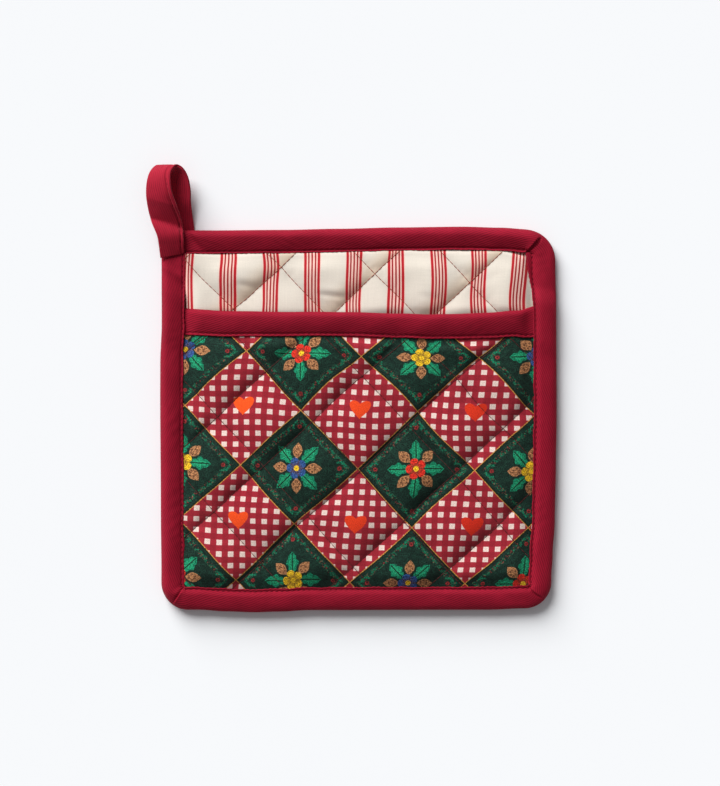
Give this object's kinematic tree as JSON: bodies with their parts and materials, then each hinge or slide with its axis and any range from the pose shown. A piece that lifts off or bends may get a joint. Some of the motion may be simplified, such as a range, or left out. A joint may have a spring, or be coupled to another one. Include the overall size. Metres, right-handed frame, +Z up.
{
  "type": "pot holder",
  "caption": "Square quilted pot holder with a bound hand pocket, bound edges and a hanging loop at one corner, lying flat on its back.",
  "frame": {"origin": "middle of the pad's back, on the surface that it lies on", "axes": "+Y towards the edge that carries the hanging loop, +Z up from the surface through the pad, +X to the right seen from the front"},
  "size_m": [0.2178, 0.2368, 0.0172],
  "materials": {
    "striped_cotton": "plain-weave cream cotton with groups of thin red stripes, quilted",
    "printed_cotton": "plain-weave cotton printed with dark green and red gingham diamonds, quilted",
    "binding_tape": "crimson cotton twill tape, stitched in matching thread"
  },
  "bodies": {
    "root": {"body_pad": "striped_cotton", "pocket_pad": "printed_cotton", "edge_binding": "binding_tape", "mouth_binding": "binding_tape", "hanging_loop": "binding_tape"}
  },
  "joints": []
}
